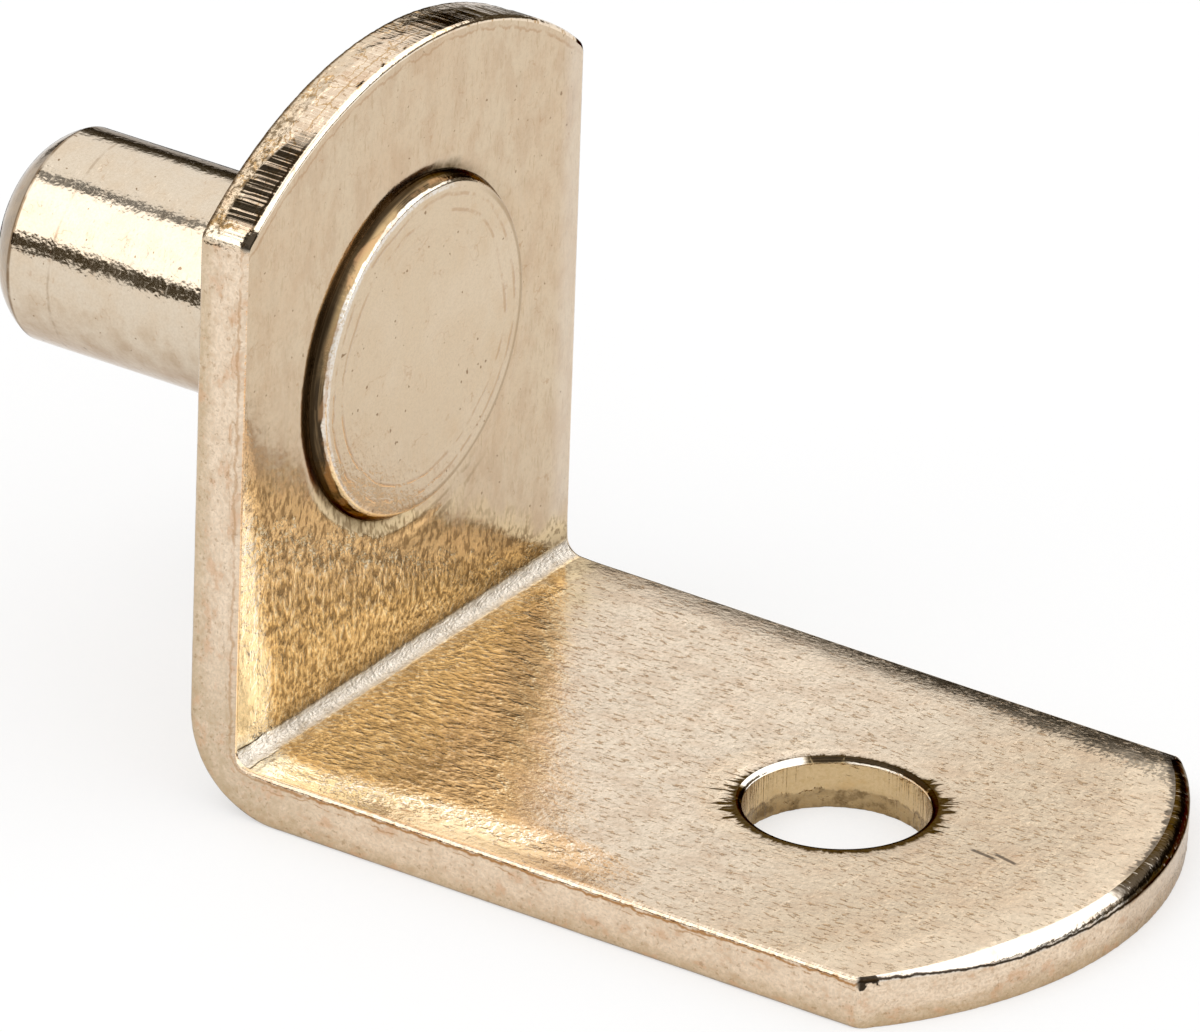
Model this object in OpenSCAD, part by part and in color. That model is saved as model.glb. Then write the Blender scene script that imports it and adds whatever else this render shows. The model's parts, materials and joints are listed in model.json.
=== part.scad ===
// Shelf support pin: a folded steel bracket with a riveted 5 mm pin.
// +Z is up, and +Y runs along the pin to its free end. The origin is on the
// pin's axis, at the bracket's back face, which seats on the cabinet side.

/* [Bracket] */
// Width of the steel strip
plate_w = 13.3; // [11:0.1:16]
// Thickness of the steel strip
plate_t = 1.25; // [0.8:0.05:1.6]
// Overall height, from the underside to the crown of the upright leg
height = 16.4; // [15:0.1:24]
// Overall reach, from the back face to the crown of the seat leg
reach = 20.2; // [18.5:0.1:30]
// Radius of the rounded ends of both legs
crown_r = 10; // [9.4:0.1:12]
// Radius where a rounded end meets a long side
corner_r = 0.45; // [0.2:0.05:0.8]
// Radius of the rolled edge that the cropping die leaves on the rounded ends
roll_r = 0.3; // [0.1:0.05:0.5]
// Radius of the strip's long edges
edge_r = 0.12; // [0.05:0.01:0.2]
// Outside radius of the fold
bend_r = 2.3; // [2.2:0.1:3]
// Inside radius of the fold
fold_r = 0.35; // [0.2:0.05:0.5]

/* [Screw hole] */
// Diameter of the screw hole
hole_d = 4.2; // [3:0.1:5]
// Distance of the screw hole from the back face
hole_y = 12.8; // [11:0.1:14]
// Radius of the rolled rim on the shelf side of the hole
hole_roll_r = 0.2; // [0.05:0.05:0.3]

/* [Pin] */
// Diameter of the pin, which suits a drilled shelf hole
pin_d = 5; // [4.6:0.1:6]
// Length of the pin behind the back face
pin_l = 8.9; // [6:0.1:12]
// Radius of the rounded free end
pin_end_r = 1.25; // [0.3:0.05:1.5]
// Height of the pin's axis above the underside
pin_z = 9; // [8:0.1:10]
// Diameter of the tenon that passes through the upright leg
tenon_d = 4; // [3:0.1:4.4]
// Radial clearance between the tenon and its hole
rivet_gap = 0.02; // [0.01:0.01:0.05]

/* [Rivet head] */
// Diameter of the flat head at its face
head_d = 7.7; // [6.5:0.1:8.5]
// Height of the head above the bracket's front face
head_h = 0.3; // [0.25:0.05:0.5]
// How far the head's foot lies outside its face
head_flare = 0.2; // [0.05:0.05:0.4]
// Radius of the head's rim
head_rim_r = 0.15; // [0.05:0.05:0.2]

/* [Hidden] */
$fn = 96;
brass = [0.82, 0.74, 0.60];

// How far a cutting or trimming solid runs past the face that it cuts
past = 1;
half_w = plate_w / 2;
pin_r = pin_d / 2;
tenon_r = tenon_d / 2;
hole_r = hole_d / 2;
// Where the fold's inside radius ends, measured from either outer face
fold_end = plate_t + fold_r;

// Rectangle from [0, 0] to [w, h] with all four corners rounded
module round_rect(w, h, r) {
    translate([r, 0]) square([w - 2 * r, h]);
    translate([0, r]) square([w, h - 2 * r]);
    for (x = [r, w - r], y = [r, h - r]) translate([x, y]) circle(r);
}

// Bar along -Y from y = -from, with its four long edges rounded. Its upper
// face is at z = top and its lower one at z = bottom.
module bar(from, length, bottom, top) {
    translate([-half_w, -from, bottom]) rotate([90, 0, 0])
        linear_extrude(length) round_rect(plate_w, top - bottom, edge_r);
}

// Sheet cropped to a round crown at y = -l, with the die's rolled edge on
// top. It is wider than the strip, and runs out below the underside.
module crowned_sheet(l) {
    centre = l - crown_r;
    translate([0, -centre, 0]) rotate_extrude() {
        translate([0, -past]) square([crown_r - roll_r, plate_t + past]);
        translate([0, -past]) square([crown_r, plate_t - roll_r + past]);
        translate([crown_r - roll_r, plate_t - roll_r]) circle(roll_r);
    }
    translate([-crown_r, -centre, -past]) cube([2 * crown_r, centre, plate_t + past]);
}

// What the small radius between a crown at y = -l and the long sides takes off
module corner_offcuts(l) {
    across = half_w - corner_r;
    reach_r = crown_r - corner_r;
    along = sqrt(reach_r * reach_r - across * across);
    normal = [across, -along] / reach_r;
    centre = [across, -along];
    edge = half_w + past;
    for (side = [0, 1]) mirror([side, 0, 0])
        translate([0, crown_r - l, -past]) linear_extrude(plate_t + 2 * past)
            difference() {
                polygon([
                    centre,
                    centre + (corner_r + past) * normal,
                    [edge, -along - corner_r - past],
                    [edge, -along],
                ]);
                translate(centre) circle(corner_r);
            }
}

// Flat leg along -Y with its crown at y = -l and its inner face up
module leg(l) {
    difference() {
        intersection() {
            bar(fold_end, l, -past, plate_t);
            crowned_sheet(l);
        }
        corner_offcuts(l);
    }
}

// Carries a leg along -Y with its inner face up over to the upright leg,
// along +Z with its inner face towards -Y
module upright() {
    mirror([0, 1, 1]) children();
}

// Solid inside the fold, hollowed by the inside radius, whose ends flare to
// meet the strip's rounded edges
module fold_core() {
    difference() {
        translate([-half_w, -fold_end, -past])
            cube([plate_w, fold_end + past, fold_end + past]);
        translate([0, -fold_end, fold_end]) rotate([0, 90, 0]) rotate_extrude()
            difference() {
                translate([0, -half_w - past])
                    square([fold_r + edge_r, plate_w + 2 * past]);
                translate([fold_r, -half_w])
                    round_rect(fold_r + plate_t, plate_w, edge_r);
            }
    }
}

// Everything inside the strip's outer face, on both legs and round the fold
module outer_form() {
    inside = height + reach;
    bar(bend_r, inside, 0, inside);
    upright() bar(bend_r, inside, 0, inside);
    translate([0, -bend_r, bend_r]) rotate([0, 90, 0]) rotate_extrude() {
        translate([0, -half_w]) square([bend_r - edge_r, plate_w]);
        translate([0, edge_r - half_w]) square([bend_r, plate_w - 2 * edge_r]);
        for (end = [-1, 1])
            translate([bend_r - edge_r, end * (half_w - edge_r)]) circle(edge_r);
    }
}

// Cutter for the screw hole, which widens at the rolled rim
module screw_hole() {
    translate([0, -hole_y, 0]) rotate_extrude() difference() {
        translate([0, -past])
            square([hole_r + hole_roll_r, plate_t + 2 * past]);
        translate([hole_r, -2 * past])
            square([hole_roll_r + past, plate_t - hole_roll_r + 2 * past]);
        translate([hole_r + hole_roll_r, plate_t - hole_roll_r])
            circle(hole_roll_r);
    }
}

// Cutter for the hole that the pin's tenon is riveted through
module rivet_hole() {
    translate([0, past, pin_z]) rotate([90, 0, 0])
        cylinder(r = tenon_r + rivet_gap, h = plate_t + 2 * past);
}

// The folded strip, cropped and punched
module bracket() {
    color(brass) translate([0, 0, -pin_z]) difference() {
        intersection() {
            union() {
                leg(reach);
                upright() leg(height);
                fold_core();
            }
            outer_form();
        }
        screw_hole();
        rivet_hole();
    }
}

// Half section of the riveted head, from its foot at y = 0 to its face
module head_section() {
    foot_r = head_d / 2 + head_flare;
    slope_l = norm([head_flare, head_h]);
    slope_normal = [head_h, head_flare] / slope_l;
    rim_y = head_h - head_rim_r;
    rim = [foot_r - (head_rim_r * slope_l + head_flare * rim_y) / head_h, rim_y];
    polygon([
        [0, 0],
        [foot_r, 0],
        rim + head_rim_r * slope_normal,
        rim + [0, head_rim_r],
        [0, head_h],
    ]);
    translate(rim) circle(head_rim_r);
}

// The pin turned in one piece: a body that shoulders on the back face, and a
// tenon whose end is pressed flat on the front face
module pin() {
    shank_l = pin_l - pin_end_r;
    flat_r = pin_r - pin_end_r;
    color(brass) rotate([-90, 0, 0]) rotate_extrude() {
        square([pin_r, shank_l]);
        square([flat_r, pin_l]);
        translate([flat_r, shank_l]) intersection() {
            circle(pin_end_r);
            square(pin_end_r);
        }
        translate([0, -plate_t - head_h / 2])
            square([tenon_r, plate_t + head_h / 2 + shank_l / 2]);
        translate([0, -plate_t]) mirror([0, 1]) head_section();
    }
}

bracket();
pin();
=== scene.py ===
"""Shelf support pin: a folded, brass-plated steel bracket with a riveted 5 mm pin.

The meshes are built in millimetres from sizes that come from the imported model, and are
scaled to metres at the end. The frame is the model's: +Y along the pin, +Z up."""

import json
from math import atan2, copysign, cos, hypot, pi, radians, sin, sqrt

import bpy
import numpy as np
from mathutils import Matrix, Vector
from mathutils.geometry import delaunay_2d_cdt


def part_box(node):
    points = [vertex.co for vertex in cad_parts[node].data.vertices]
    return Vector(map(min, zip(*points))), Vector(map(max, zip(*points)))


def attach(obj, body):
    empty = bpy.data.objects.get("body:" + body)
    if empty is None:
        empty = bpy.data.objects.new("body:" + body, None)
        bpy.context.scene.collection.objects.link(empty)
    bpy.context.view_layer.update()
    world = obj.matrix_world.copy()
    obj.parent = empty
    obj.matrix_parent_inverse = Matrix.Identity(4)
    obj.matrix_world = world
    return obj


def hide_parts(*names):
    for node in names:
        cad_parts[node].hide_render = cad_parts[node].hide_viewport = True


MM = 0.001
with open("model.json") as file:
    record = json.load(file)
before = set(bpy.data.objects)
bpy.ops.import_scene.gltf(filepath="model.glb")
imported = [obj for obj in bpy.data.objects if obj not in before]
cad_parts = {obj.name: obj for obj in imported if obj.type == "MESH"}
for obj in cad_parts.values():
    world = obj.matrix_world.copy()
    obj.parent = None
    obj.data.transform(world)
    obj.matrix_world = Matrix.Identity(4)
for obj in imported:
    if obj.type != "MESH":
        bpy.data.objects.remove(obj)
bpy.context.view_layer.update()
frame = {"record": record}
MOUNTS = {m["name"]: m for m in frame["record"]["mounts"]}

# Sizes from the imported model, in millimetres
BRACKET_LOW, BRACKET_HIGH = (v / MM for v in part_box("bracket"))
PIN_LOW, PIN_HIGH = (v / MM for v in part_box("pin"))
HALF_W = BRACKET_HIGH.x
UNDERSIDE = BRACKET_LOW.z
HEIGHT = BRACKET_HIGH.z - UNDERSIDE
REACH = -BRACKET_LOW.y
THICK = MOUNTS["shelf_seat"]["pos_m"][2] / MM - UNDERSIDE
HOLE_Y = MOUNTS["screw_hole"]["pos_m"][1] / MM
HOLE_R = MOUNTS["screw_hole"]["dims"]["r_mm"]
PIN_R = MOUNTS["shelf_pin"]["dims"]["r_mm"]
PIN_L = PIN_HIGH.y
HEAD_Y = PIN_LOW.y
HEAD_FOOT_R = PIN_HIGH.x

# Smaller sizes, as in the part's source
CROWN_R = 10
CORNER_R = 0.45
ROLL_R = 0.3
EDGE_R = 0.12
BURR_R = 0.03
BEND_R = 2.3
FOLD_R = 0.35
HOLE_ROLL_R = 0.14
TIP_ROLL_R = 0.34
CROWN_ROLL_R = 0.11
TENON_R = 2.0
HEAD_FLARE = 0.2
HEAD_RIM_R = 0.07
NOSE_L = 0.88
NOSE_R = 1.5
NOSE_SWELL = 0.14
DISH_D = 0.08

# Places on the flat strip, whose coordinate s is 0 where the seat leg meets the fold
BEND_LENGTH = BEND_R * pi / 2
SEAT_TIP = BEND_R - REACH
TOP_TIP = BEND_LENGTH + HEIGHT - BEND_R
FOLD_S = BEND_LENGTH / 2
HOLE_S = HOLE_Y + BEND_R
RIVET_S = BEND_LENGTH - UNDERSIDE - BEND_R
SEAT_ARC, TOP_ARC = SEAT_TIP + CROWN_R, TOP_TIP - CROWN_R  # centres of the rounded ends


# ---- repeatable noise
def noise2(u, v, seed):
    """Smooth noise over two coordinates, from -1 to 1, with features about 1 across."""
    table = np.random.default_rng(seed).uniform(-1, 1, (256, 256))
    u, v = np.broadcast_arrays(np.asarray(u, float), np.asarray(v, float))
    iu, iv = np.floor(u).astype(int), np.floor(v).astype(int)
    fu, fv = u - iu, v - iv
    fu, fv = fu * fu * (3 - 2 * fu), fv * fv * (3 - 2 * fv)
    a, b = table[iu & 255, iv & 255], table[(iu + 1) & 255, iv & 255]
    c, d = table[iu & 255, (iv + 1) & 255], table[(iu + 1) & 255, (iv + 1) & 255]
    return (a + (b - a) * fu) * (1 - fv) + (c + (d - c) * fu) * fv


def ramp(x, low, high):
    """0 below low, 1 above high, smooth between."""
    t = np.clip((np.asarray(x, float) - low) / (high - low), 0, 1)
    return t * t * (3 - 2 * t)


# ---- the strip's form
def fold_point(x, s, h):
    """Carries points of the flat strip, at x, s and a share h of the thickness above the
    outer face, to the folded bracket."""
    x, s, h = (np.asarray(a, float) for a in (x, s, h))
    u = np.clip(s / BEND_LENGTH, 0, 1)
    turn = u * pi / 2
    outer_y, outer_z = BEND_R * np.sin(turn) - BEND_R, BEND_R - BEND_R * np.cos(turn)
    straight = BEND_R - THICK - FOLD_R
    run = u * (2 * straight + FOLD_R * pi / 2)
    inner_turn = np.clip((run - straight) / FOLD_R, 0, pi / 2)
    inner_y = -BEND_R + np.minimum(run, straight) + FOLD_R * np.sin(inner_turn)
    rest = np.maximum(run - straight - FOLD_R * pi / 2, 0)
    inner_z = THICK + FOLD_R * (1 - np.cos(inner_turn)) + rest
    y = outer_y + (inner_y - outer_y) * h
    z = outer_z + (inner_z - outer_z) * h
    y = y + np.minimum(s, 0)
    z = z + np.maximum(s - BEND_LENGTH, 0)
    return np.stack([x, y, z + UNDERSIDE], -1)


# Spacing of the mesh, in millimetres
CORNER_STEP, CROWN_STEP, SIDE_STEP, BEND_STEP = 0.035, 0.042, 0.16, 0.09
COLUMN_STEP, ROW_STEP, FOLD_ROW_STEP = 0.36, 0.42, 0.075
FOLD_ROWS = 1.05  # how far the close rows reach on either side of the fold's middle
SEAM = radians(237)  # where the rings round the holes start
PIN_SIDES = 256


def strip_outline():
    """The flat strip's outline, anticlockwise: positions, outward normals, and how far
    each point belongs to a cropped end (1) or a long side (0)."""
    across = HALF_W - CORNER_R
    along = sqrt((CROWN_R - CORNER_R) ** 2 - across**2)
    beta = atan2(along, across)
    side_low, side_high = SEAT_ARC - along, TOP_ARC + along
    rows = []

    def arc(centre, r, start, end, spacing, crop_from, crop_to):
        count = max(2, round(r * abs(end - start) / spacing))
        for i in range(count):
            t = i / count
            a = start + (end - start) * t
            n = (cos(a), sin(a))
            crop = crop_from + (crop_to - crop_from) * t
            rows.append((centre[0] + r * n[0], centre[1] + r * n[1], *n, crop))

    def side(x, start, end):
        s, way = start, copysign(1, end - start)
        while (end - s) * way > 0.02:
            rows.append((x, s, copysign(1, x), 0, 0))
            s += way * (BEND_STEP if -0.2 < s < BEND_LENGTH + 0.2 else SIDE_STEP)

    side(HALF_W, side_low, side_high)
    arc((across, side_high), CORNER_R, 0, beta, CORNER_STEP, 0, 1)
    arc((0, TOP_ARC), CROWN_R, beta, pi - beta, CROWN_STEP, 1, 1)
    arc((-across, side_high), CORNER_R, pi - beta, pi, CORNER_STEP, 1, 0)
    side(-HALF_W, side_high, side_low)
    arc((-across, side_low), CORNER_R, pi, pi + beta, CORNER_STEP, 0, 1)
    arc((0, SEAT_ARC), CROWN_R, pi + beta, 2 * pi - beta, CROWN_STEP, 1, 1)
    arc((across, side_low), CORNER_R, 2 * pi - beta, 2 * pi, CORNER_STEP, 1, 0)
    rows = np.array(rows)
    return rows[:, :2], rows[:, 2:4], rows[:, 4]


def arc_lengths(points):
    steps = np.linalg.norm(np.roll(points, -1, 0) - points, axis=1)
    return np.concatenate([[0], np.cumsum(steps)[:-1]])


class Shell:
    """Collects a mesh on the flat strip: vertices with their strip coordinates (x, s,
    depth below the inner face) and their coordinates along a sheared wall."""

    def __init__(self):
        self.points, self.strip, self.wall, self.faces, self.kinds = [], [], [], [], []
        self.count = 0

    def add(self, points, strip, wall):
        first = self.count
        self.points.append(points)
        self.strip.append(strip)
        self.wall.append(wall)
        self.count += len(points)
        return np.arange(first, self.count)

    def flat(self, ring):
        return np.concatenate(self.strip)[ring][:, :2]

    def quads(self, low, high):
        """Joins two closed rings of vertices, so that the faces look outward when the
        rings run anticlockwise seen from the high ring's side."""
        n = len(low)
        for i in range(n):
            j = (i + 1) % n
            self.faces.append((low[i], low[j], high[j], high[i]))
            self.kinds.append(1)


def wall_rings(shell, points, normals, arcs, top_r, low_r, press, kinds, wall_rows, inward=1):
    """Rings down a wall from its rolled top edge to its lower edge. press(arcs, depth)
    gives how far the metal stands off the wall's nominal face. Returns all rings."""
    rings, steps = [], []
    for a in np.linspace(0, pi / 2, 7):
        steps.append(((1 - sin(a)) * top_r, (1 - cos(a)) * top_r))
    for i in range(1, wall_rows):
        steps.append((0 * top_r, top_r + (THICK - low_r - top_r) * (i / wall_rows)))
    for a in np.linspace(0, pi / 2, 4):
        steps.append(((1 - cos(a)) * low_r, THICK - low_r * (1 - sin(a))))
    for off, depth in steps:
        stand = press(arcs, depth)
        flat = points - normals * (off - stand)[:, None] * inward
        sunk = depth - face_relief(flat[:, 0], flat[:, 1]) * ramp(depth, THICK * 0.7, 0)
        h = 1 - sunk / THICK
        strip = np.stack([flat[:, 0], flat[:, 1], depth], -1)
        wall = np.stack([arcs, depth, kinds], -1)
        rings.append(shell.add(fold_point(flat[:, 0], flat[:, 1], h), strip, wall))
    # A hole's rings are joined the other way round, as its wall faces inward
    for pair in zip(rings, rings[1:]):
        shell.quads(*pair[::-inward])
    return rings


# ---- surface relief
def bell(x, centre, width):
    return np.exp(-(((x - centre) / width) ** 2))


def cropped_wall(arcs, depth, crop):
    """Relief of the die-cropped ends: drawn scores down the burnished band, then torn
    grain. The long sides only keep the strip's slight waviness."""
    scored = noise2(arcs / 0.11, 0.5, 11) * 0.5 + noise2(arcs / 0.27, 3.5, 12) * 0.6
    scored = scored + noise2(arcs / 0.055, 7.5, 13) * 0.35
    strength = 0.35 + 0.65 * ramp(noise2(arcs / 2.4, 1.5, 14), -0.25, 0.45)
    tear_line = 0.78 + 0.16 * noise2(arcs / 0.55, 2.5, 15) + 0.09 * noise2(arcs / 0.17, 4.5, 16)
    torn = ramp(depth, tear_line - 0.03, tear_line + 0.05)
    start = ramp(depth, ROLL_R * 0.8, ROLL_R * 1.35)
    grain = noise2(arcs / 0.12, depth / 0.10, 17) * 0.6
    grain = grain + noise2(arcs / 0.06, depth / 0.05, 18) * 0.4
    burnished = scored * 0.008 * strength * start * (1 - torn)
    fractured = (-0.020 + 0.011 * grain) * torn
    side = 0.006 * noise2(arcs / 1.2, depth / 0.8, 19)
    side = (side + 0.003 * noise2(arcs / 0.3, depth / 0.15, 20)) * ramp(depth, 0, 0.2)
    return crop * (burnished + fractured) + (1 - crop) * side


def punched_wall(arcs, depth):
    """Relief of the screw hole's wall: scored above, broken out below."""
    scored = noise2(arcs / 0.10, 0.5, 31) * 0.6 + noise2(arcs / 0.24, 3.5, 32) * 0.6
    tear_line = 0.80 + 0.13 * noise2(arcs / 0.8, 2.5, 33) + 0.05 * noise2(arcs / 0.2, 4.5, 34)
    torn = ramp(depth, tear_line - 0.03, tear_line + 0.06)
    start = ramp(depth, HOLE_ROLL_R * 0.8, HOLE_ROLL_R * 1.4)
    grain = noise2(arcs / 0.11, depth / 0.1, 35) * 0.6
    grain = grain + noise2(arcs / 0.05, depth / 0.05, 36) * 0.4
    return -(scored * 0.009 * start * (1 - torn) + (0.03 + 0.02 * grain) * torn)


def face_relief(x, s):
    """How far the inner face is pressed in or stands out, in millimetres: the coined ring
    round the rivet head, the dished rim of the screw hole and the strip's waviness."""
    r = np.hypot(x, s - RIVET_S)
    outer = HEAD_FOOT_R + 0.38 + 0.08 * noise2(x, s, 43)
    coined = -0.05 * (1 - ramp(r, HEAD_FOOT_R + 0.02, outer))
    stroke = -0.010 * bell(r, HEAD_FOOT_R + 0.75, 0.16) * ramp(x - (s - RIVET_S), -1, 3)
    q = np.hypot(x, s - HOLE_S)
    dished = -0.012 * bell(q, HOLE_R + 0.25, 0.22) - 0.004 * bell(q, HOLE_R * 1.33, 0.10)
    far = 0.55 + 0.45 * ramp(-s, 0.0, 10.0)
    camber = -0.150 * ramp(x, HALF_W - 1.15, HALF_W + 0.6) * far
    camber = camber - 0.035 * ramp(-x, HALF_W - 1.0, HALF_W + 0.5)
    wavy = 0.006 * noise2(x / 3.1 + 9, s / 4.3, 41) + 0.0025 * noise2(x / 1.1, s / 1.6 + 5, 42)
    wavy = wavy * ramp(edge_gap(np.stack([x, s], -1)), 0.25, 0.9)
    return coined + stroke + dished + wavy + camber


# ---- mesh helpers
def inside_loop(points, loop):
    """Which points lie inside a closed loop, by the even-odd rule."""
    inside = np.zeros(len(points), bool)
    x, y = points[:, 0], points[:, 1]
    for a, b in zip(loop, np.roll(loop, -1, 0)):
        crosses = (a[1] > y) != (b[1] > y)
        if crosses.any():
            at = (b[0] - a[0]) * (y[crosses] - a[1]) / (b[1] - a[1]) + a[0]
            inside[np.flatnonzero(crosses)[x[crosses] < at]] ^= True
    return inside


def grid_points(loop, hole_rings):
    """Points to fill a face: a grid, closer in the fold, and rings round the holes."""

    def marks(low, high, step):
        return np.linspace(low, high, max(2, round((high - low) / step)) + 1)

    low, high = FOLD_S - FOLD_ROWS, FOLD_S + FOLD_ROWS
    seat, fold = marks(SEAT_TIP, low, ROW_STEP), marks(low, high, FOLD_ROW_STEP)
    rows = np.concatenate([seat[:-1], fold[:-1], marks(high, TOP_TIP, ROW_STEP)])
    columns = marks(-HALF_W, HALF_W, COLUMN_STEP)
    grid = np.array([(x, s) for s in rows for x in columns])
    grid += 1e-4 * np.random.default_rng(5).uniform(-1, 1, grid.shape)
    keep = inside_loop(grid, loop)
    gap = np.full(len(grid), 9.0)
    for p in loop:
        gap = np.minimum(gap, np.hypot(*(grid - p).T))
    keep &= gap > 0.1
    rings = []
    for centre, radii, count in hole_rings:
        r = np.hypot(grid[:, 0], grid[:, 1] - centre)
        keep &= r > radii[-1] + 0.12
        for k, radius in enumerate(radii):
            a = (np.arange(count) + 0.5 * (k % 2)) / count * 2 * pi
            rings.append(np.stack([radius * np.cos(a), centre + radius * np.sin(a)], -1))
    return np.concatenate([grid[keep], *rings])


def fill_face(shell, outer, holes, extra, inner):
    """Triangulates the strip's inner or outer face, from its outline to its hole rings."""
    known = np.concatenate([outer, *holes])
    points = np.concatenate([shell.flat(known), extra])
    edges, first = [], 0
    for ring in [outer, *holes]:
        n = len(ring)
        edges += [(first + i, first + (i + 1) % n) for i in range(n)]
        first += n
    made = delaunay_2d_cdt([Vector(p) for p in points], edges, [], 0, 1e-7)
    coords = np.array([tuple(c) for c in made[0]])
    triangles = np.array([list(f) for f in made[2]])
    centres = coords[triangles].mean(1)
    keep = inside_loop(centres, shell.flat(outer))
    for ring in holes:
        keep &= ~inside_loop(centres, shell.flat(ring))
    depth = np.full(len(extra), 0.0 if inner else THICK)
    sunk = depth - face_relief(*extra.T) if inner else depth
    placed = fold_point(*extra.T, 1 - sunk / THICK)
    added = shell.add(placed, np.column_stack([extra, depth]), np.zeros((len(extra), 3)))
    index = np.concatenate([known, added])
    source = np.array([o[0] for o in made[3]])
    for t in triangles[keep]:
        a, b, c = index[source[t]]
        shell.faces.append((a, b, c) if inner else (a, c, b))
        shell.kinds.append(0)


def edge_gap(points):
    """Rough distance from the strip's outline, for points on the flat strip."""
    x, s = points[:, 0], points[:, 1]
    sides = HALF_W - np.abs(x)
    top = np.where(s > TOP_ARC, CROWN_R - np.hypot(x, s - TOP_ARC), 9)
    seat = np.where(s < SEAT_ARC, CROWN_R - np.hypot(x, s - SEAT_ARC), 9)
    return np.minimum(sides, np.minimum(top, seat))


def add_object(name, data):
    made = bpy.data.objects.new(name, data)
    bpy.context.scene.collection.objects.link(made)
    return made


def to_object(name, points, faces, kinds, materials, attributes):
    """A smooth-shaded object from millimetre points, with normals weighted by area."""
    mesh = bpy.data.meshes.new(name)
    mesh.from_pydata((points * MM).tolist(), [], [tuple(int(i) for i in f) for f in faces])
    mesh.update()
    for material in materials:
        mesh.materials.append(material)
    mesh.polygons.foreach_set("material_index", np.array(kinds, np.int32))
    mesh.polygons.foreach_set("use_smooth", np.ones(len(faces), bool))
    normals = np.zeros((len(points), 3))
    for f in faces:
        p = points[list(f)]
        normals[list(f)] += np.cross(p[2] - p[0], p[-1] - p[1])
    normals /= np.maximum(np.linalg.norm(normals, axis=1), 1e-12)[:, None]
    mesh.normals_split_custom_set_from_vertices(normals.tolist())
    for key, values in attributes.items():
        layer = mesh.attributes.new(key, "FLOAT_VECTOR", "POINT")
        layer.data.foreach_set("vector", np.ascontiguousarray(values, np.float32).ravel())
    return add_object(name, mesh)


# ---- pieces
def make_bracket(face_metal, cut_metal):
    """The folded strip with its cropped ends, screw hole and rivet hole."""
    shell = Shell()
    points, normals, crop = strip_outline()
    arcs = arc_lengths(points)
    share = ramp(crop, 0.05, 0.95)
    tapered = TIP_ROLL_R * (0.35 + 0.65 * ramp(points[:, 0], -HALF_W + 0.3, -HALF_W + 3.5))
    roll_r = np.where(points[:, 1] < 0, tapered, CROWN_ROLL_R)
    top_r = EDGE_R + (roll_r - EDGE_R) * share
    low_r = EDGE_R + (BURR_R - EDGE_R) * share
    rings = wall_rings(
        shell, points, normals, arcs, top_r, low_r,
        lambda a, d: cropped_wall(a, d, share), share, 20,
    )

    def hole(centre, radius, roll, press, count, rows, kind):
        angles = np.arange(count) / count * 2 * pi
        facing = angles + SEAM
        normal = np.stack([np.cos(facing), np.sin(facing)], -1)
        ring = np.array([0, centre]) + radius * normal
        return wall_rings(
            shell, ring, normal, angles * radius, np.full(count, roll),
            np.full(count, BURR_R), press, np.full(count, float(kind)), rows, inward=-1,
        )

    screw = hole(HOLE_S, HOLE_R, HOLE_ROLL_R, punched_wall, 288, 18, 2)
    rivet = hole(RIVET_S, TENON_R + 0.02, 0.02, lambda a, d: 0 * a, 96, 3, 3)
    steps = np.array([0.05, 0.12, 0.2, 0.3, 0.4, 0.5, 0.6, 0.72, 0.85, 1.0])
    screw_radii = HOLE_R + HOLE_ROLL_R + steps
    head_radii = HEAD_FOOT_R + np.arange(-0.08, 0.72, 0.045)
    loops = [(HOLE_S, screw_radii, 144), (RIVET_S, head_radii, 200)]
    extra = grid_points(shell.flat(rings[0]), loops)
    fill_face(shell, rings[0], [screw[0], rivet[0]], extra, True)
    screw_radii, rivet_radii = HOLE_R + np.array([0.1, 0.3]), TENON_R + np.array([0.2, 0.5])
    loops = [(HOLE_S, screw_radii, 72), (RIVET_S, rivet_radii, 72)]
    extra = grid_points(shell.flat(rings[-1]), loops)
    fill_face(shell, rings[-1], [screw[-1], rivet[-1]], extra, False)
    return to_object(
        "bracket_strip", np.concatenate(shell.points), shell.faces, shell.kinds,
        [face_metal, cut_metal],
        {"strip": np.concatenate(shell.strip), "wall": np.concatenate(shell.wall)},
    )


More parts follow.
